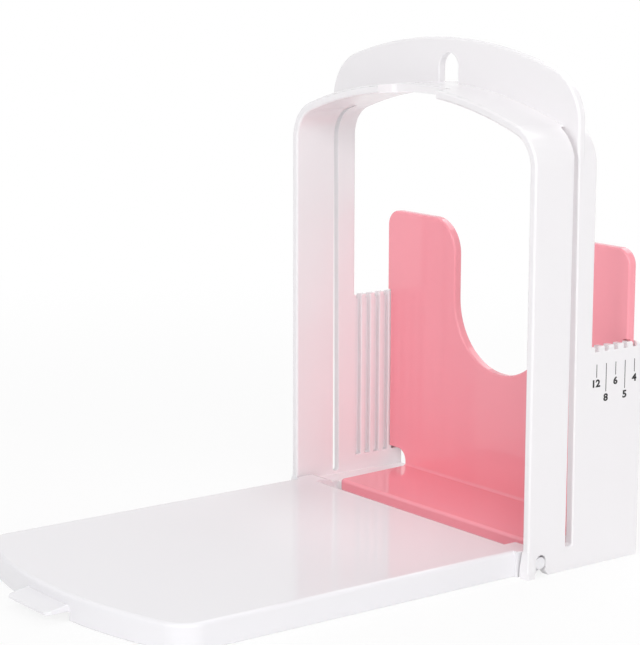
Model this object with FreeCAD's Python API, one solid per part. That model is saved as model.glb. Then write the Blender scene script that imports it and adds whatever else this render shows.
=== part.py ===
"""Bread slicer guide: an arched frame with knife slits, a folding board and a lift-out bread guide.

Millimetres, +Z up.  X runs across the frame and Y from the board towards the guide.  The board is
shown open, laid forward on the table.  It folds up by 90 degrees into the arch.  Everything is drawn
with Y = 0 in the front plane of the arch, and the finished pieces are moved together so that the
origin lies on the table under the middle of the whole footprint.
"""
import FreeCAD, Part
import math
import os

V = FreeCAD.Vector
UP = V(0, 0, 1)
ACROSS = V(1, 0, 0)
BACK = V(0, 1, 0)
SIDES = (-1, 1)
TINY = 1e-6                  # two lengths closer than this are the same length
overshoot = 1.0              # how far a cutter runs past the face that it opens

# ---- frame: arch -----------------------------------------------------------
inner_half_width = 70.8      # centre plane to the inner face of a wall
wall = 3.4                   # walls and arch roof
arch_crown_z = 176.8         # underside of the roof on the centre plane
arch_crown_radius = 185.0    # gentle crown of the roof's underside
arch_corner_radius = 13.0    # inside corner between a wall and the roof
post_to_groove = 1.0         # back of the tall part to the first groove
edge_radius = 0.9            # moulded edges of the frame

# ---- frame: knife slits ----------------------------------------------------
slit_front_y = 19.3          # front face of both slits
slit_top_width = 2.1
slit_bottom_width = 3.3
slit_bottom_z = 9.2
slit_top_drop = 8.8          # top of a slit below the crown, in the rounded corner of the arch
slit_bevel = 0.5             # around the outer mouth of a slit
knife_thickness = 1.2        # the blade slides on the front face of the slits

# ---- frame: hanger ---------------------------------------------------------
hanger_front_y = 21.1
hanger_thickness = 3.4
hanger_rise = 17.8           # above the roof on the centre plane
hanger_crown_radius = 200.0
hanger_corner_radius = 21.0
hang_slot_width = 11.3
hang_slot_to_top = 6.0       # material left above the slot
hang_slot_edge_radius = 0.5

# ---- frame: low back walls with guide grooves ------------------------------
thinnest_slice = 10.0        # blade to guide when the guide stands in the first groove
groove_pitch = 5.0           # one step of slice thickness
groove_count = 5
groove_width = 2.7
groove_depth = 2.3
groove_bottom_z = 14.7
groove_mouth_radius = 0.3
groove_to_wall_end = 2.95    # last groove to the end of the wall
back_wall_top_z = 85.0
back_wall_corner_radius = 4.0
index_notch_width = 2.2      # seen from outside, above the printed slice counts
index_notch_depth = 2.0

# ---- frame: base under the guide -------------------------------------------
base_top_z = 7.7
base_plate = 2.4
base_skirt = 2.2
base_to_lip = 0.4            # front of the base to the back of the guide's lip
base_cheek_width = 9.5       # beside the lip the base comes further forward
cheek_to_board = 0.6         # front of a cheek to the folded board
base_edge_radius = 0.5       # top front edges of the base and its cheeks

# ---- frame: feet and hinge slots -------------------------------------------
foot_flare = 1.2
foot_pad_height = 3.0
foot_flare_height = 10.0
foot_length = 2.4
foot_edge_radius = 0.45
hinge_y = 6.5
pin_radius = 2.4
pin_clearance = 0.08         # running fit of a pin between the sides of its slot
pin_head_room = 0.9          # crescent left above the pin
snap_neck = 0.25             # each side of the neck stands in by this much under the pin
snap_neck_height = 0.6
lead_in_width = 7.8          # mouth of the slot at the table

# ---- frame: clearance for the board's thumb tab ----------------------------
tab_notch_gap = 3.6          # beside the tab
tab_notch_back_gap = 0.8     # behind the tab
tab_notch_corner_radius = 2.0

# ---- board -----------------------------------------------------------------
board_height = 9.9
board_plate = 2.4
board_skirt = 2.2
board_side_gap = 2.4         # board to wall, each side, when folded
board_top_gap = 1.6          # board to roof when folded
board_corner_step = 1.0      # how much smaller its corner radius is than the arch's
board_back_y = 2.8           # back edge between the ears
board_edge_radius = 1.6
board_rim_radius = 0.4       # lower edge of the skirt
ear_width = 10.7
ear_gap = 0.9                # ear to wall
ear_table_gap = 0.1          # ear to table
ear_reach = 8.0              # how far an ear runs forward of the hinge at its full height
ear_edge_radius = 0.4
pin_end_inset = 0.2          # pin end to the outer face of the wall
pin_end_radius = 0.3
rib_count = 2
rib_thickness = 1.6
rib_height = 5.0
rib_end_gap = 2.5            # end of a rib to the skirt at the far end

# ---- board: thumb tab ------------------------------------------------------
tab_half_width = 14.0
tab_length = 8.6
tab_bottom_z = 3.4           # underside, level
tab_root_thickness = 2.6
tab_tip_thickness = 1.1
tab_corner_radius = 2.2
tab_edge_radius = 0.4
tab_window_gap = 0.4         # opening in the skirt under the tab, each side

# ---- bread guide -----------------------------------------------------------
guide_plate = 3.85
guide_tongue_gap = 0.2       # each face of a tongue to its groove
guide_side_gap = 0.35        # plate to wall, and tongue to the bottom of its groove
guide_shoulder_gap = 0.6     # plate to the top of a wall
guide_groove = 5             # the groove that it stands in, counted from the slit
guide_top_z = 120.3
guide_outer_radius = 6.5
guide_tongue_rise = 1.3      # foot of a tongue above the bottom of its groove
guide_tongue_radius = 1.2
guide_notch_radius = 5.0     # between the foot of a tongue and the floor
guide_edge_radius = 0.8
guide_floor = 1.9
guide_floor_inset = 1.3      # floor to the inner side of a cheek
guide_floor_taper = 2.5      # how much further in the floor's front corner stands, each side
guide_floor_corner_radius = 2.5
guide_seat_gap = 0.1         # floor to the base
guide_to_board = 1.2         # lip to the folded board
guide_lip_thickness = 2.0
guide_lip_drop = 2.7         # below the top of the base
guide_lip_radius = 1.4
guide_lip_edge_radius = 0.4  # lower edge of the lip
guide_cove_radius = 1.2      # between floor and plate
guide_cut_half_width = 28.5
guide_cut_bottom_z = 59.6
guide_cut_flat = 0.8         # level stretch at the bottom of the finger cut-out
guide_lobe_radius = 14.5

# ---- derived: frame and board ----------------------------------------------
outer_half_width = inner_half_width + wall
roof_top_z = arch_crown_z + wall
arch_side_top_z = arch_crown_z - arch_crown_radius + math.sqrt(
    (arch_crown_radius - arch_corner_radius) ** 2 - (inner_half_width - arch_corner_radius) ** 2)
slit_top_z = arch_crown_z - slit_top_drop
hanger_crown_z = roof_top_z + hanger_rise
ear_radius = (board_height - ear_table_gap) / 2
hinge_z = ear_table_gap + ear_radius
board_rim_y = hinge_y - hinge_z                  # when folded, the rim faces forward
board_face_y = board_rim_y + board_height
board_end_z = arch_crown_z - board_top_gap
board_end_y = hinge_y + hinge_z - board_end_z
board_half_width = inner_half_width - board_side_gap
ear_half_width = inner_half_width - ear_gap
ear_inner_x = ear_half_width - ear_width
tab_root_top_z = tab_bottom_z + tab_root_thickness

# ---- derived: guide and its grooves ----------------------------------------
guide_first_face_y = slit_front_y + knife_thickness + thinnest_slice
guide_plate_y = guide_first_face_y + (guide_groove - 1) * groove_pitch
guide_tongue = groove_width - 2 * guide_tongue_gap
first_groove_y = guide_first_face_y + guide_plate - guide_tongue / 2
last_groove_y = first_groove_y + (groove_count - 1) * groove_pitch
post_depth = first_groove_y - groove_width / 2 - post_to_groove
back_wall_end_y = last_groove_y + groove_width / 2 + groove_to_wall_end
groove_floor_x = inner_half_width + groove_depth
guide_half_width = groove_floor_x - guide_side_gap
guide_tongue_bottom_z = groove_bottom_z + guide_tongue_rise
guide_floor_bottom_z = base_top_z + guide_seat_gap
guide_floor_top_z = guide_floor_bottom_z + guide_floor
guide_lip_bottom_z = base_top_z - guide_lip_drop
guide_front_y = board_face_y + guide_to_board
guide_back_y = guide_plate_y + guide_plate
base_front_y = guide_front_y + guide_lip_thickness + base_to_lip
base_cheek_front_y = board_face_y + cheek_to_board
cheek_inner_x = inner_half_width - base_cheek_width
guide_back_half_width = cheek_inner_x - guide_floor_inset
guide_front_half_width = guide_back_half_width - guide_floor_taper

# ---- derived: the footprint, from the tip of the tab to the ends of the walls
tab_tip_y = board_end_y - tab_length
footprint_middle_y = (tab_tip_y + back_wall_end_y) / 2


def point(x, z, y=0.0):
    """A point given by its place in a plane that faces forward."""
    return V(x, y, z)


def line(a, b):
    return Part.makeLine(a, b)


def arc(a, middle, b):
    return Part.Arc(a, middle, b).toShape()


def block(x0, x1, y0, y1, z0, z1):
    """A box between two corners."""
    return Part.makeBox(x1 - x0, y1 - y0, z1 - z0, V(x0, y0, z0))


def side_block(side, x_near, x_far, y0, y1, z0, z1):
    """A box on one side of the centre plane, from x_near out to x_far."""
    xs = sorted((side * x_near, side * x_far))
    return block(xs[0], xs[1], y0, y1, z0, z1)


def prism(edges, direction):
    """The solid that a closed loop of edges sweeps along a direction."""
    wire = Part.Wire(edges)
    return Part.Face(wire).extrude(direction)


def rounded_loop(corners, radii):
    """Edges of a polygon whose corners are rounded with the given radii."""
    count = len(corners)
    starts, arcs, ends = [], [], []
    for i, (corner, radius) in enumerate(zip(corners, radii)):
        if radius == 0:
            starts.append(corner)
            ends.append(corner)
            arcs.append(None)
            continue
        before = (corners[i - 1] - corner).normalize()
        after = (corners[(i + 1) % count] - corner).normalize()
        half_angle = before.getAngle(after) / 2
        run = radius / math.tan(half_angle)
        middle_line = (before + after).normalize()
        middle = corner + middle_line * (radius / math.sin(half_angle) - radius)
        start = corner + before * run
        end = corner + after * run
        starts.append(start)
        ends.append(end)
        arcs.append(arc(start, middle, end))
    edges = []
    for i in range(count):
        if arcs[i] is not None:
            edges.append(arcs[i])
        following = starts[(i + 1) % count]
        if ends[i].distanceToPoint(following) > TINY:
            edges.append(line(ends[i], following))
    return edges


def arch_loop(half_width, crown_z, crown_radius, corner_radius, bottom_z, y):
    """Upright sides, rounded corners and a gently crowned top, each tangent to the next."""
    crown_centre_z = crown_z - crown_radius
    corner_x = half_width - corner_radius
    corner_z = crown_centre_z + math.sqrt((crown_radius - corner_radius) ** 2 - corner_x ** 2)
    lean = math.atan2(corner_x, corner_z - crown_centre_z)
    meet_x = crown_radius * math.sin(lean)
    meet_z = crown_centre_z + crown_radius * math.cos(lean)
    half_turn = (math.pi / 2 - lean) / 2
    mid_x = corner_x + corner_radius * math.cos(half_turn)
    mid_z = corner_z + corner_radius * math.sin(half_turn)
    return [
        line(point(-half_width, bottom_z, y), point(-half_width, corner_z, y)),
        arc(point(-half_width, corner_z, y), point(-mid_x, mid_z, y), point(-meet_x, meet_z, y)),
        arc(point(-meet_x, meet_z, y), point(0, crown_z, y), point(meet_x, meet_z, y)),
        arc(point(meet_x, meet_z, y), point(mid_x, mid_z, y), point(half_width, corner_z, y)),
        line(point(half_width, corner_z, y), point(half_width, bottom_z, y)),
        line(point(half_width, bottom_z, y), point(-half_width, bottom_z, y)),
    ]


def arch_prism(grow, y0, y1, bottom_z):
    """The arch's opening, grown outwards by an even amount, between two depths."""
    edges = arch_loop(inner_half_width + grow, arch_crown_z + grow, arch_crown_radius + grow,
                      arch_corner_radius + grow, bottom_z, y0)
    return prism(edges, BACK * (y1 - y0))


def edges_where(shape, test):
    return [edge for edge in shape.Edges if test(edge.BoundBox)]


# ---- frame -----------------------------------------------------------------
def tall_arch():
    """The two tall posts and the roof that joins them, with rounded front and back edges."""
    opening = arch_prism(0, -overshoot, post_depth + overshoot, -overshoot)
    body = arch_prism(wall, 0, post_depth, 0).cut(opening)

    def at_front_or_back(box):
        flat = box.YLength < TINY
        on_end = abs(box.YMin) < TINY or abs(box.YMin - post_depth) < TINY
        return flat and on_end and box.ZLength > TINY
    return body.makeFillet(edge_radius, edges_where(body, at_front_or_back))


def hanger():
    """The flange that rises above the roof, flush with the posts' sides, with its hang slot."""
    foot_z = arch_side_top_z - hanger_thickness
    edges = arch_loop(outer_half_width, hanger_crown_z, hanger_crown_radius,
                      hanger_corner_radius, foot_z, hanger_front_y)
    body = prism(edges, BACK * hanger_thickness)

    def around_rim(box):
        return box.YLength < TINY and box.ZLength > TINY
    body = body.makeFillet(edge_radius, edges_where(body, around_rim))
    slot_half = hang_slot_width / 2
    slot_centre_z = hanger_crown_z - hang_slot_to_top - slot_half
    y0 = hanger_front_y - overshoot
    y1 = hanger_front_y + hanger_thickness + overshoot
    slot = block(-slot_half, slot_half, y0, y1, arch_crown_z, slot_centre_z)
    slot = slot.fuse(Part.makeCylinder(slot_half, y1 - y0, point(0, slot_centre_z, y0), BACK))
    body = body.cut(slot.removeSplitter())

    def around_slot(box):
        beside = max(-box.XMin, box.XMax) < slot_half + TINY
        return beside and box.YLength < TINY and box.ZLength > TINY
    body = body.makeFillet(hang_slot_edge_radius, edges_where(body, around_slot))
    return body.cut(arch_prism(wall / 2, y0, y1, 0))


def back_wall(side):
    """One low wall behind a post, with a rounded top corner."""
    x0 = inner_half_width if side > 0 else -outer_half_width
    front = post_depth - 2 * edge_radius
    corners = [V(x0, front, 0), V(x0, back_wall_end_y, 0), V(x0, back_wall_end_y, back_wall_top_z),
               V(x0, front, back_wall_top_z)]
    body = prism(rounded_loop(corners, (0, 0, back_wall_corner_radius, 0)), ACROSS * wall)

    def outer_rim(box):
        outside = abs(box.XMin - side * outer_half_width) < TINY and box.XLength < TINY
        return outside and box.YMax > back_wall_end_y - TINY and box.ZLength > TINY
    return body.makeFillet(edge_radius, edges_where(body, outer_rim))


def base():
    """The hollow base that the guide's floor rests on, with its rounded front edges."""
    half = inner_half_width + wall / 2
    body = block(-half, half, base_front_y, back_wall_end_y - edge_radius, 0, base_top_z)
    for side in SIDES:
        body = body.fuse(side_block(side, cheek_inner_x, half, base_cheek_front_y,
                                    base_front_y + base_skirt, 0, base_top_z))

    def front_top(box):
        level = abs(box.ZMin - base_top_z) < TINY and box.ZLength < TINY
        in_front = min(abs(box.YMin - y) for y in (base_front_y, base_cheek_front_y)) < TINY
        return level and in_front and box.YLength < TINY
    body = body.makeFillet(base_edge_radius, edges_where(body, front_top))
    hollow = block(-inner_half_width, inner_half_width, base_front_y + base_skirt,
                   back_wall_end_y - edge_radius - base_skirt, -overshoot, base_top_z - base_plate)
    return body.cut(hollow)


def foot(side):
    """The front foot of a post, flared forward and outward towards the table."""
    def rectangle(flare, z):
        x_in = side * inner_half_width
        x_out = side * (outer_half_width + flare)
        corners = [V(x_in, -flare, z), V(x_out, -flare, z), V(x_out, foot_length, z),
                   V(x_in, foot_length, z)]
        return Part.makePolygon(corners + corners[:1])
    pad = Part.Face(rectangle(foot_flare, 0)).extrude(UP * foot_pad_height)
    taper = Part.makeLoft([rectangle(foot_flare, foot_pad_height),
                           rectangle(0, foot_flare_height)], True)
    body = pad.fuse(taper)

    def upright_front(box):
        return box.ZLength > TINY and box.YMin < TINY and abs(box.XMin) > inner_half_width + wall / 2
    return body.makeFillet(foot_edge_radius, edges_where(body, upright_front))


def slit_loop(x, grow):
    """Outline of a slit at one place across, grown outwards by an even amount."""
    front_y = slit_front_y - grow
    back_top_y = slit_front_y + slit_top_width + grow
    back_bottom_y = slit_front_y + slit_bottom_width + grow
    top_z = slit_top_z + grow
    bottom_z = slit_bottom_z - grow
    corners = [V(x, front_y, top_z), V(x, back_top_y, top_z), V(x, back_bottom_y, bottom_z),
               V(x, front_y, bottom_z)]
    radii = (slit_top_width / 3 + grow,) * 2 + (slit_bottom_width / 3 + grow,) * 2
    return rounded_loop(corners, radii)


def slit(side):
    """One knife slit: straight in front, widening downwards behind, with a bevelled outer mouth."""
    x_in = inner_half_width - arch_corner_radius
    through = prism(slit_loop(side * x_in, 0), ACROSS * side * (arch_corner_radius + 2 * wall))
    bevel_start = Part.Wire(slit_loop(side * (outer_half_width - slit_bevel), 0))
    bevel_end = Part.Wire(slit_loop(side * (outer_half_width + slit_bevel), 2 * slit_bevel))
    body = through.fuse(Part.makeLoft([bevel_start, bevel_end], True, True))
    below = side_block(side, x_in - overshoot, outer_half_width + 2 * wall, 0, post_depth,
                       0, arch_side_top_z)
    arch_only = arch_prism(wall, 0, post_depth, arch_side_top_z - overshoot)
    return body.common(below.fuse(arch_only))


def grooves(side):
    """The grooves that hold the guide, open at the top, each with its index notch."""
    cuts = []
    x_in = inner_half_width - overshoot
    x_out = outer_half_width + overshoot
    top = back_wall_top_z + overshoot
    for i in range(groove_count):
        y = first_groove_y + i * groove_pitch
        cuts.append(side_block(side, x_in, groove_floor_x, y - groove_width / 2,
                               y + groove_width / 2, groove_bottom_z, top))
        cuts.append(side_block(side, x_in, x_out, y - index_notch_width / 2,
                               y + index_notch_width / 2, back_wall_top_z - index_notch_depth, top))
    return cuts


def hinge_slot(side):
    """The slot that snaps over a pin from above: lead-in, neck, straight sides and round top."""
    half = pin_radius + pin_clearance
    neck_half = pin_radius - snap_neck
    mouth_half = lead_in_width / 2
    neck_top_z = hinge_z - pin_radius
    neck_z = neck_top_z - snap_neck_height
    side_start_z = neck_top_z + half - neck_half
    round_z = hinge_z + pin_radius + pin_head_room - half
    x0 = side * (inner_half_width - overshoot)

    def at(y, z):
        return V(x0, hinge_y + y, z)
    left = [at(-half, round_z), at(-half, side_start_z), at(-neck_half, neck_top_z),
            at(-neck_half, neck_z), at(-mouth_half, 0), at(-mouth_half, -overshoot)]
    right = [at(mouth_half, -overshoot), at(mouth_half, 0), at(neck_half, neck_z),
             at(neck_half, neck_top_z), at(half, side_start_z), at(half, round_z)]
    corners = left + right
    edges = [line(a, b) for a, b in zip(corners, corners[1:])]
    edges.append(arc(corners[-1], at(0, round_z + half), corners[0]))
    return prism(edges, ACROSS * side * (wall + foot_flare + 2 * overshoot))


def tab_notch():
    """The notch in the front of the roof that the board's thumb tab passes."""
    half = tab_half_width + tab_notch_gap
    depth = hinge_y + tab_root_top_z - hinge_z + tab_notch_back_gap
    z0 = arch_crown_z - overshoot
    corners = [V(-half, -overshoot, z0), V(half, -overshoot, z0), V(half, depth, z0),
               V(-half, depth, z0)]
    radii = (0, 0, tab_notch_corner_radius, tab_notch_corner_radius)
    return prism(rounded_loop(corners, radii), UP * (wall + 2 * overshoot))


def frame():
    body = tall_arch().fuse([hanger(), base()] + [back_wall(side) for side in SIDES]
                            + [foot(side) for side in SIDES])
    cuts = [tab_notch()]
    for side in SIDES:
        cuts.append(slit(side))
        cuts.append(hinge_slot(side))
        cuts.extend(grooves(side))
    body = body.cut(cuts).removeSplitter()

    def groove_mouth(box):
        upright = box.XLength < TINY and box.YLength < TINY
        on_inner_face = abs(abs(box.XMin) - inner_half_width) < TINY
        return upright and on_inner_face and box.YMin > post_depth + TINY
    return body.makeFillet(groove_mouth_radius, edges_where(body, groove_mouth))


# ---- board -----------------------------------------------------------------
def laid_down(shape):
    """The board is drawn folded up in the arch and then laid forward about its hinge."""
    turned = shape.copy()
    turned.rotate(V(0, hinge_y, hinge_z), ACROSS, 90)
    return turned


def board_prism(shrink, y0, y1, bottom_z):
    """The board's outline, shrunk inwards by an even amount, between two depths."""
    crown_radius = arch_crown_radius - board_top_gap
    corner_radius = arch_corner_radius - board_corner_step
    edges = arch_loop(board_half_width - shrink, board_end_z - shrink, crown_radius - shrink,
                      corner_radius - shrink, bottom_z, y0)
    return prism(edges, BACK * (y1 - y0))


def tray():
    """The board's top and its skirt, drawn folded, with two stiffening ribs inside."""
    back_z = hinge_z + hinge_y - board_back_y
    body = board_prism(0, board_rim_y, board_face_y, back_z)

    def around_top(box):
        return box.YLength < TINY and abs(box.YMin - board_face_y) < TINY
    body = body.makeFillet(board_edge_radius, edges_where(body, around_top))
    under_y = board_face_y - board_plate

    def lower_rim(box):
        on_rim = box.YLength < TINY and abs(box.YMin - board_rim_y) < TINY
        return on_rim and box.ZMax > back_z + TINY
    body = body.makeFillet(board_rim_radius, edges_where(body, lower_rim))
    hollow = board_prism(board_skirt, board_rim_y - overshoot, under_y, back_z + board_skirt)
    body = body.cut(hollow)
    spacing = 2 * board_half_width / (rib_count + 1)
    ribs = []
    for i in range(rib_count):
        x = -board_half_width + (i + 1) * spacing
        ribs.append(block(x - rib_thickness / 2, x + rib_thickness / 2, under_y - rib_height,
                          under_y + board_plate / 2, back_z + board_skirt / 2,
                          board_end_z - board_skirt - rib_end_gap))
    return body.fuse(ribs)


def ear(side):
    """A rounded ear beside a wall with the pin on it, drawn folded."""
    start = V(side * ear_inner_x, hinge_y, hinge_z)
    reach_z = hinge_z + ear_reach

    def at(y, z):
        return V(side * ear_inner_x, y, z)
    front, behind = at(hinge_y - ear_radius, hinge_z), at(hinge_y + ear_radius, hinge_z)
    corners = [behind, at(hinge_y + ear_radius, reach_z), at(board_rim_y, reach_z),
               at(board_rim_y, hinge_z), front]
    edges = [line(a, b) for a, b in zip(corners, corners[1:])]
    edges.append(arc(front, at(hinge_y, hinge_z - ear_radius), behind))
    body = prism(edges, ACROSS * side * ear_width)

    def outer_round(box):
        return (abs(box.XMin - side * ear_half_width) < TINY and box.XLength < TINY
                and box.ZMax < hinge_z + TINY)
    body = body.makeFillet(ear_edge_radius, edges_where(body, outer_round))
    pin_length = outer_half_width - pin_end_inset - ear_inner_x
    pin = Part.makeCylinder(pin_radius, pin_length, start, ACROSS * side)

    def at_end(box):
        return abs(box.XMin - side * (outer_half_width - pin_end_inset)) < TINY and box.XLength < TINY
    return body.fuse(pin.makeFillet(pin_end_radius, edges_where(pin, at_end)))


def thumb_tab():
    """The tab on the far end of the board, drawn open: a wedge with two rounded tip corners."""
    root_y = board_end_y + board_skirt
    z = tab_bottom_z
    corners = [V(-tab_half_width, root_y, z), V(-tab_half_width, tab_tip_y, z),
               V(tab_half_width, tab_tip_y, z), V(tab_half_width, root_y, z)]
    radii = (0, tab_corner_radius, tab_corner_radius, 0)
    plan = prism(rounded_loop(corners, radii), UP * tab_root_thickness)
    x0 = -tab_half_width
    profile = [V(x0, root_y, z), V(x0, tab_tip_y, z), V(x0, tab_tip_y, z + tab_tip_thickness),
               V(x0, board_end_y, z + tab_root_thickness), V(x0, root_y, z + tab_root_thickness)]
    wedge = Part.Face(Part.makePolygon(profile + profile[:1])).extrude(ACROSS * 2 * tab_half_width)
    body = plan.common(wedge)

    def tip_rim(box):
        return box.ZLength < TINY and box.YMin < tab_tip_y + tab_corner_radius + TINY
    return body.makeFillet(tab_edge_radius, edges_where(body, tip_rim))


def tab_window():
    """The opening in the skirt under the tab."""
    half = tab_half_width + tab_window_gap
    return block(-half, half, board_end_y - overshoot, board_end_y + board_skirt + overshoot,
                 -overshoot, tab_bottom_z)


def board():
    body = tray().fuse([ear(side) for side in SIDES])
    body = laid_down(body)
    return body.cut(tab_window()).fuse(thumb_tab()).removeSplitter()


# ---- bread guide -----------------------------------------------------------
def guide_upright():
    """The plate: a tongue down each side, two rounded lobes and the finger cut-out between them."""
    y = guide_plate_y
    half_outline = [(guide_back_half_width, guide_floor_bottom_z, 0),
                    (guide_back_half_width, guide_tongue_bottom_z, guide_notch_radius),
                    (guide_half_width, guide_tongue_bottom_z, guide_tongue_radius),
                    (guide_half_width, guide_top_z, guide_outer_radius),
                    (guide_cut_half_width, guide_top_z, guide_lobe_radius),
                    (guide_cut_half_width, guide_cut_bottom_z,
                     guide_cut_half_width - guide_cut_flat / 2)]
    left = [(point(-x, z, y), radius) for x, z, radius in half_outline]
    right = [(point(x, z, y), radius) for x, z, radius in reversed(half_outline)]
    corners, radii = zip(*(left + right))
    body = prism(rounded_loop(corners, radii), BACK * guide_plate)

    def rim(box):
        return box.YLength < TINY and box.ZMax > back_wall_top_z and box.ZLength > TINY
    return body.makeFillet(guide_edge_radius, edges_where(body, rim))


def guide_floor_plan(z):
    """The floor's plan: a little narrower in front, with small round front corners."""
    back_y = guide_back_y - guide_edge_radius
    corners = [V(-guide_back_half_width, back_y, z), V(-guide_front_half_width, guide_front_y, z),
               V(guide_front_half_width, guide_front_y, z), V(guide_back_half_width, back_y, z)]
    radii = (0, guide_floor_corner_radius, guide_floor_corner_radius, 0)
    return rounded_loop(corners, radii)


def guide_floor_and_lip():
    """The floor that the loaf's end stands on, with a lip down its front edge."""
    body = prism(guide_floor_plan(guide_floor_bottom_z), UP * guide_floor)
    lip_height = guide_floor_top_z - guide_lip_bottom_z
    strip = block(-guide_back_half_width, guide_back_half_width, guide_front_y - overshoot,
                  guide_front_y + guide_lip_thickness, guide_lip_bottom_z, guide_floor_top_z)
    lip = prism(guide_floor_plan(guide_lip_bottom_z), UP * lip_height).common(strip)
    body = body.fuse(lip).removeSplitter()
    corner_end_y = guide_front_y + guide_floor_corner_radius + TINY

    def front_at(z):
        return edges_where(body, lambda box: abs(box.ZMin - z) < TINY and box.ZLength < TINY
                           and box.YMax < corner_end_y)
    body = body.makeFillet(guide_lip_radius, front_at(guide_floor_top_z))
    return body.makeFillet(guide_lip_edge_radius, front_at(guide_lip_bottom_z))


def guide_cove():
    """The hollow rounding between the floor and the plate."""
    half = guide_back_half_width - guide_edge_radius
    y1 = guide_plate_y + guide_plate / 2
    y0 = guide_plate_y - guide_cove_radius
    z0 = guide_floor_top_z - guide_floor / 2
    z1 = guide_floor_top_z + guide_cove_radius
    strip = block(-half, half, y0, y1, z0, z1)
    hollow = Part.makeCylinder(guide_cove_radius, 2 * half, V(-half, y0, z1), ACROSS)
    return strip.cut(hollow)


def wall_clearance(side):
    """What is cut from the plate so that only its tongue enters the groove below the wall's top."""
    front = guide_plate_y - overshoot
    tongue_front = guide_back_y - guide_tongue
    return side_block(side, inner_half_width - guide_side_gap, guide_half_width + overshoot, front,
                      tongue_front, groove_bottom_z, back_wall_top_z + guide_shoulder_gap)


def bread_guide():
    body = guide_upright().fuse([guide_floor_and_lip(), guide_cove()])
    return body.cut([wall_clearance(side) for side in SIDES]).removeSplitter()


os.makedirs("parts", exist_ok=True)
NODES = {"arch_frame": frame, "folding_board": board, "bread_guide": bread_guide}
for name, make in NODES.items():
    solid = make()
    solid.translate(BACK * -footprint_middle_y)
    solid.exportStep("parts/" + name + ".step")
    print(name, "solids", len(solid.Solids), "valid", solid.isValid(), "mm3", round(solid.Volume))
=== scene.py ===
"""Looks of the bread slicer guide: moulded plastic, printed slice counts, studio and camera.

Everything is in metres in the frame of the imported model: X across the arch, Y from the board
towards the guide, Z up, with the origin on the table under the middle of the footprint.
"""
import math

import bpy
import numpy as np
from mathutils import Matrix, Vector


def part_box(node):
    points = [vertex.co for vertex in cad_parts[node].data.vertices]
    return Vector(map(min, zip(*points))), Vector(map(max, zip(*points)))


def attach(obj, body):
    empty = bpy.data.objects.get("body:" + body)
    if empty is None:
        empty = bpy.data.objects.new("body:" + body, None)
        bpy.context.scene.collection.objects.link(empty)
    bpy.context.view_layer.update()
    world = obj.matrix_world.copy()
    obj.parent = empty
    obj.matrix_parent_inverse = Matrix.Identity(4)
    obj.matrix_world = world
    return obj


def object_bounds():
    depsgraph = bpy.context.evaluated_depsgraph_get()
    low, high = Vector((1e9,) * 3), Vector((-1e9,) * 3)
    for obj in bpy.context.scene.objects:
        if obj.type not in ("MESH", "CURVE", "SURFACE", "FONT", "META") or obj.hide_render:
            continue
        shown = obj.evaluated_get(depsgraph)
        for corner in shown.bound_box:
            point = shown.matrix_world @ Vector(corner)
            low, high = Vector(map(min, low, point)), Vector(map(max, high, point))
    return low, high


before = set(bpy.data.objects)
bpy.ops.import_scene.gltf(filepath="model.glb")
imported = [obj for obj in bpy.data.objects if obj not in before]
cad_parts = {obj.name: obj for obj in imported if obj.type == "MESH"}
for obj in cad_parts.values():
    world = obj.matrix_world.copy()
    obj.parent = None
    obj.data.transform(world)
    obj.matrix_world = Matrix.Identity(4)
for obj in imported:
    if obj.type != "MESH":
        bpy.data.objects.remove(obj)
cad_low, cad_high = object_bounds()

MM = 0.001


# ---- small helpers -----------------------------------------------------------
def linear(hex_colour):
    """An sRGB colour such as "f4f2f4" as linear red, green, blue and alpha."""
    srgb = [int(hex_colour[i:i + 2], 16) / 255 for i in (0, 2, 4)]
    rgb = [c / 12.92 if c <= 0.04045 else ((c + 0.055) / 1.055) ** 2.4 for c in srgb]
    return (*rgb, 1.0)


def add(tree, kind, settings=None, **sockets):
    """Adds a node.  A socket's value is a number, a colour or another node's output socket."""
    node = tree.nodes.new(kind)
    for name, value in (settings or {}).items():
        setattr(node, name, value)
    for name, value in sockets.items():
        socket = node.inputs[name.replace("_", " ")]
        if isinstance(value, bpy.types.NodeSocket):
            tree.links.new(value, socket)
        else:
            socket.default_value = value
    return node


def join(tree, node, *outputs):
    """Joins other nodes' outputs to a node's inputs, in the order of the inputs."""
    for output, socket in zip(outputs, node.inputs):
        tree.links.new(output, socket)


def new_material(name):
    """An empty node material and its tree."""
    material = bpy.data.materials.new(name)
    material.use_nodes = True
    material.node_tree.nodes.clear()
    return material, material.node_tree


def new_object(name, data):
    """An object in the scene that holds a mesh, a text, a lamp or a camera."""
    thing = bpy.data.objects.new(name, data)
    bpy.context.scene.collection.objects.link(thing)
    return thing


# ---- materials ---------------------------------------------------------------
plastic_ior = 1.5            # ABS, and the resin of the ink
shrink_size = 60 * MM        # waves where the melt shrank
peel_size = 1.4 * MM         # orange peel from the tool
peel_depth = 0.0005 * MM
handling_size = 45 * MM      # patches that handling has dulled or rubbed
handling_share = 0.12        # how far they take the roughness up or down
noise_low, noise_high = 0.3, 0.7   # the noise seldom leaves this range
ink_cover_size = 0.5 * MM    # patches of thinner and thicker ink


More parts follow.
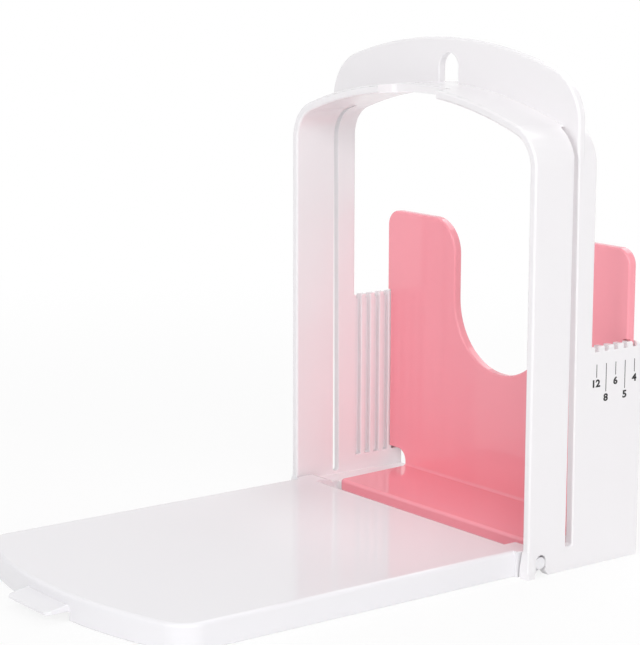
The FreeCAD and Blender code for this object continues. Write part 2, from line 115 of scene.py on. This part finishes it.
def moulded_plastic(name, colour, roughness, waviness):
    """Injection-moulded plastic from a polished tool.

    The skin is glossy, with a slow waviness where the melt shrank, a fine orange peel from the
    tool, and roughness that drifts a little from handling.
    """
    material, tree = new_material(name)
    place = add(tree, "ShaderNodeTexCoord").outputs["Object"]
    shrink = add(tree, "ShaderNodeTexNoise", Vector=place, Scale=1 / shrink_size, Detail=0.0)
    peel = add(tree, "ShaderNodeTexNoise", Vector=place, Scale=1 / peel_size, Detail=0.0)
    handling = add(tree, "ShaderNodeTexNoise", Vector=place, Scale=1 / handling_size, Detail=3.0,
                   Roughness=0.55)
    drift = add(tree, "ShaderNodeMapRange", Value=handling.outputs["Fac"],
                From_Min=noise_low, From_Max=noise_high,
                To_Min=roughness * (1 - handling_share), To_Max=roughness * (1 + handling_share))
    slow = add(tree, "ShaderNodeBump", Height=shrink.outputs["Fac"], Strength=1.0,
               Distance=waviness)
    fine = add(tree, "ShaderNodeBump", Height=peel.outputs["Fac"], Strength=1.0,
               Distance=peel_depth, Normal=slow.outputs["Normal"])
    shader = add(tree, "ShaderNodeBsdfPrincipled", Base_Color=linear(colour),
                 Roughness=drift.outputs["Result"], IOR=plastic_ior,
                 Normal=fine.outputs["Normal"])
    add(tree, "ShaderNodeOutputMaterial", Surface=shader.outputs["BSDF"])
    return material


def printing_ink():
    """Pad-printed black ink, a thin satin film."""
    material, tree = new_material("pad_printed_ink")
    place = add(tree, "ShaderNodeTexCoord").outputs["Object"]
    cover = add(tree, "ShaderNodeTexNoise", Vector=place, Scale=1 / ink_cover_size, Detail=2.0)
    tone = add(tree, "ShaderNodeMix", {"data_type": "RGBA"}, Factor=cover.outputs["Fac"],
               A=linear("0f0e0f"), B=linear("201e20"))
    shader = add(tree, "ShaderNodeBsdfPrincipled", Base_Color=tone.outputs["Result"],
                 Roughness=0.45, IOR=plastic_ior)
    add(tree, "ShaderNodeOutputMaterial", Surface=shader.outputs["BSDF"])
    return material


# The frame's tool was polished less than the board's and the guide's, so its gloss is softer.
frame_plastic = moulded_plastic("moulded_white_abs", "f4f2f4", 0.20, 0.05 * MM)
board_plastic = moulded_plastic("gloss_moulded_white_abs", "f1f0f3", 0.055, 0.08 * MM)
guide_plastic = moulded_plastic("gloss_moulded_pink_abs", "fda1ad", 0.045, 0.04 * MM)

finishes = {"arch_frame": frame_plastic, "folding_board": board_plastic,
            "bread_guide": guide_plastic}
for node, finish in finishes.items():
    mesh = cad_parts[node].data
    mesh.materials.clear()
    mesh.materials.append(finish)


# ---- printed slice counts ----------------------------------------------------
# On the outer face of the right wall, one count under each guide groove, counted from the slit.
slice_counts = (12, 8, 6, 5, 4)
foot_flare = 1.2 * MM        # the feet stand out from the wall's face
last_groove_to_end = 4.3 * MM   # middle of the last groove to the end of the wall
groove_pitch = 5.0 * MM
digit_height = 3.0 * MM
digit_stretch = 1.18         # the numerals are wider than the plain font
digit_boldness = 0.04        # growth of the font's outline, in font heights
digit_smoothness = 6         # points on each curve of the font's outline
digit_gap = 0.75 * MM        # top of a digit to the lower end of its line
upper_row_z = 69.4 * MM      # feet of the first, third and fifth count
lower_row_z = 63.5 * MM      # feet of the others
line_top_z = 78.2 * MM
line_width = 0.32 * MM
film = 0.03 * MM             # thickness of the ink

arch_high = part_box("arch_frame")[1]
wall_face_x = arch_high.x - foot_flare
first_groove_y = arch_high.y - last_groove_to_end - (len(slice_counts) - 1) * groove_pitch


def film_piece(name, figure, faces):
    """A flat figure in Y and Z, made a thin film of ink on the wall's outer face.

    The figure is drawn once on the wall, facing it, and once the film's thickness further out.
    Each edge that only one face uses is on the rim, and there a side joins the two.
    """
    count = len(figure)
    inner = np.column_stack((np.full(count, wall_face_x), figure))
    outer = np.column_stack((np.full(count, wall_face_x + film), figure))
    facing_wall = [tuple(reversed([i + count for i in face])) for face in faces]
    sides = {}
    for face in faces:
        for a, b in zip(face, face[1:] + face[:1]):
            if (b, a) in sides:
                del sides[(b, a)]
            else:
                sides[(a, b)] = (b, a, a + count, b + count)
    mesh = bpy.data.meshes.new(name)
    mesh.from_pydata(np.vstack((outer, inner)), [], faces + facing_wall + list(sides.values()))
    mesh.materials.append(ink)
    piece = new_object(name, mesh)
    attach(piece, "frame")


def digits(text, middle_y, foot_z):
    """The points and faces of a bold number, its middle and its foot at a place on the wall.

    The font's flat figure is scaled to the height of the digits, stretched across, and moved.
    """
    name = "count_" + text
    curve = bpy.data.curves.new(name, "FONT")
    curve.body = text
    curve.size = 1.0
    curve.offset = digit_boldness
    curve.resolution_u = digit_smoothness
    source = new_object(name, curve)
    bpy.context.view_layer.update()
    mesh = bpy.data.meshes.new_from_object(source)
    flat = np.empty(len(mesh.vertices) * 3)
    mesh.vertices.foreach_get("co", flat)
    across, up = flat.reshape(-1, 3)[:, :2].T
    scale = digit_height / (up.max() - up.min())
    middle = (across.min() + across.max()) / 2
    figure = np.column_stack(((across - middle) * scale * digit_stretch + middle_y,
                              (up - up.min()) * scale + foot_z))
    faces = [tuple(polygon.vertices) for polygon in mesh.polygons]
    bpy.data.objects.remove(source)
    bpy.data.meshes.remove(mesh)
    return figure, faces


def printed_counts():
    """Each count with the line that leads up from it towards its groove."""
    for i, count in enumerate(slice_counts):
        y = first_groove_y + i * groove_pitch
        foot_z = lower_row_z if i % 2 else upper_row_z
        film_piece("slice_count_%d" % count, *digits(str(count), y, foot_z))
        line_foot_z = foot_z + digit_height + digit_gap
        left, right = y - line_width / 2, y + line_width / 2
        corners = [(left, line_foot_z), (right, line_foot_z), (right, line_top_z),
                   (left, line_top_z)]
        film_piece("slice_line_%d" % count, corners, [(0, 1, 2, 3)])


ink = printing_ink()
printed_counts()


# ---- floor, light and camera -------------------------------------------------
plain_white = (1, 1, 1, 1)
floor_half_width = 6.0
floor_gap = 0.05 * MM        # the object's lowest point to the floor
shadow_reach = 0.2           # from the middle of the object, the shadow shows fully this far
shadow_end = 0.7             # and is gone here
white_near_object = 0.84     # share of plain white in the floor that is seen near the object
studio_light = 0.27          # strength of the studio's walls as light
lamp_distance = 2.0
lamp_target = Vector((0, 0, 70 * MM))        # the middle of the object

camera_angles = (52.721, 10.461, 0.168)      # azimuth, elevation and roll in degrees
camera_place = (0.656793, -0.484304, 0.243930)
sensor_width = 36.0
focal_pixels = 2194.989
image_height_pixels = 645


def seen_directly(tree):
    """1 for a ray from the camera, off a shiny surface or through a clear one, and 0 for light."""
    path = add(tree, "ShaderNodeLightPath")
    seen = path.outputs["Is Camera Ray"]
    for ray in ("Is Glossy Ray", "Is Transmission Ray"):
        both = add(tree, "ShaderNodeMath", {"operation": "MAXIMUM"})
        join(tree, both, seen, path.outputs[ray])
        seen = both.outputs[0]
    return seen


def floor_material():
    """Matt white paper.  Where it is seen or reflected, most of it is plain white.

    The plain white grows from a share around the object, where the rest shows its shadow, to the
    whole of the paper a little further out.
    """
    material, tree = new_material("white_paper_floor")
    place = add(tree, "ShaderNodeTexCoord").outputs["Object"]
    distance = add(tree, "ShaderNodeVectorMath", {"operation": "LENGTH"})
    join(tree, distance, place)
    white_share = add(tree, "ShaderNodeMapRange", {"interpolation_type": "SMOOTHSTEP"},
                      Value=distance.outputs["Value"], From_Min=shadow_reach,
                      From_Max=shadow_end, To_Min=white_near_object, To_Max=1.0)
    share = add(tree, "ShaderNodeMath", {"operation": "MULTIPLY"})
    join(tree, share, seen_directly(tree), white_share.outputs["Result"])
    paper = add(tree, "ShaderNodeBsdfDiffuse", Color=linear("fafafa"))
    white = add(tree, "ShaderNodeEmission", Color=plain_white, Strength=1.0)
    mix = add(tree, "ShaderNodeMixShader")
    join(tree, mix, share.outputs[0], paper.outputs[0], white.outputs[0])
    add(tree, "ShaderNodeOutputMaterial", Surface=mix.outputs[0])
    return material


def make_floor():
    """A wide plane a hair below the object's lowest point."""
    half = floor_half_width
    z = cad_low.z - floor_gap
    corners = [(-half, -half, z), (half, -half, z), (half, half, z), (-half, half, z)]
    mesh = bpy.data.meshes.new("floor")
    mesh.from_pydata(corners, [], [(0, 1, 2, 3)])
    mesh.materials.append(floor_material())
    new_object("floor", mesh)


def make_world():
    """A bright even studio: white where it is seen or reflected, dimmer as light."""
    world = bpy.data.worlds.new("white_studio")
    world.use_nodes = True
    tree = world.node_tree
    tree.nodes.clear()
    light = add(tree, "ShaderNodeBackground", Color=linear("fbfafb"), Strength=studio_light)
    white = add(tree, "ShaderNodeBackground", Color=plain_white, Strength=1.0)
    mix = add(tree, "ShaderNodeMixShader")
    join(tree, mix, seen_directly(tree), light.outputs[0], white.outputs[0])
    add(tree, "ShaderNodeOutputWorld", Surface=mix.outputs[0])
    bpy.context.scene.world = world


def soft_box(name, azimuth, elevation, size, watts):
    """A square lamp at a fixed distance, facing the middle of the object.

    Its azimuth and elevation are in degrees: azimuth 0 is in front of the object and 90 is to
    its right.
    """
    data = bpy.data.lights.new(name, "AREA")
    data.shape = "SQUARE"
    data.size = size
    data.energy = watts
    turn, rise = math.radians(azimuth), math.radians(elevation)
    away = Vector((math.sin(turn) * math.cos(rise), -math.cos(turn) * math.cos(rise),
                   math.sin(rise)))
    lamp = new_object(name, data)
    lamp.location = lamp_target + away * lamp_distance
    lamp.rotation_mode = "QUATERNION"
    lamp.rotation_quaternion = (-away).to_track_quat("-Z", "Y")


def make_camera():
    """A long lens at the right front of the object, a little above it."""
    azimuth, elevation, roll = (math.radians(a) for a in camera_angles)
    forward = Vector((-math.sin(azimuth) * math.cos(elevation),
                      math.cos(azimuth) * math.cos(elevation), -math.sin(elevation)))
    level = forward.cross(Vector((0, 0, 1))).normalized()
    upright = level.cross(forward)
    right = level * math.cos(roll) + upright * math.sin(roll)
    up = upright * math.cos(roll) - level * math.sin(roll)
    data = bpy.data.cameras.new("camera")
    data.sensor_width = sensor_width
    data.lens = focal_pixels / image_height_pixels * sensor_width
    data.clip_start = 0.05
    data.clip_end = 50.0
    camera = new_object("camera", data)
    turn = Matrix((right, up, -forward)).transposed()
    camera.matrix_world = Matrix.Translation(camera_place) @ turn.to_4x4()
    bpy.context.scene.camera = camera


make_floor()
make_world()
soft_box("light_in_front", 10, 30, size=0.8, watts=9.4)
soft_box("light_beside_the_camera", 58, 25, size=1.0, watts=11.3)
soft_box("light_at_the_right", 86, 27, size=1.4, watts=8.4)
soft_box("light_at_the_left", 300, 30, size=1.4, watts=2.5)
soft_box("light_overhead", 0, 88, size=1.4, watts=6.8)
soft_box("light_behind", 195, 45, size=1.4, watts=12.0)
make_camera()
bpy.context.scene.view_settings.view_transform = "Standard"
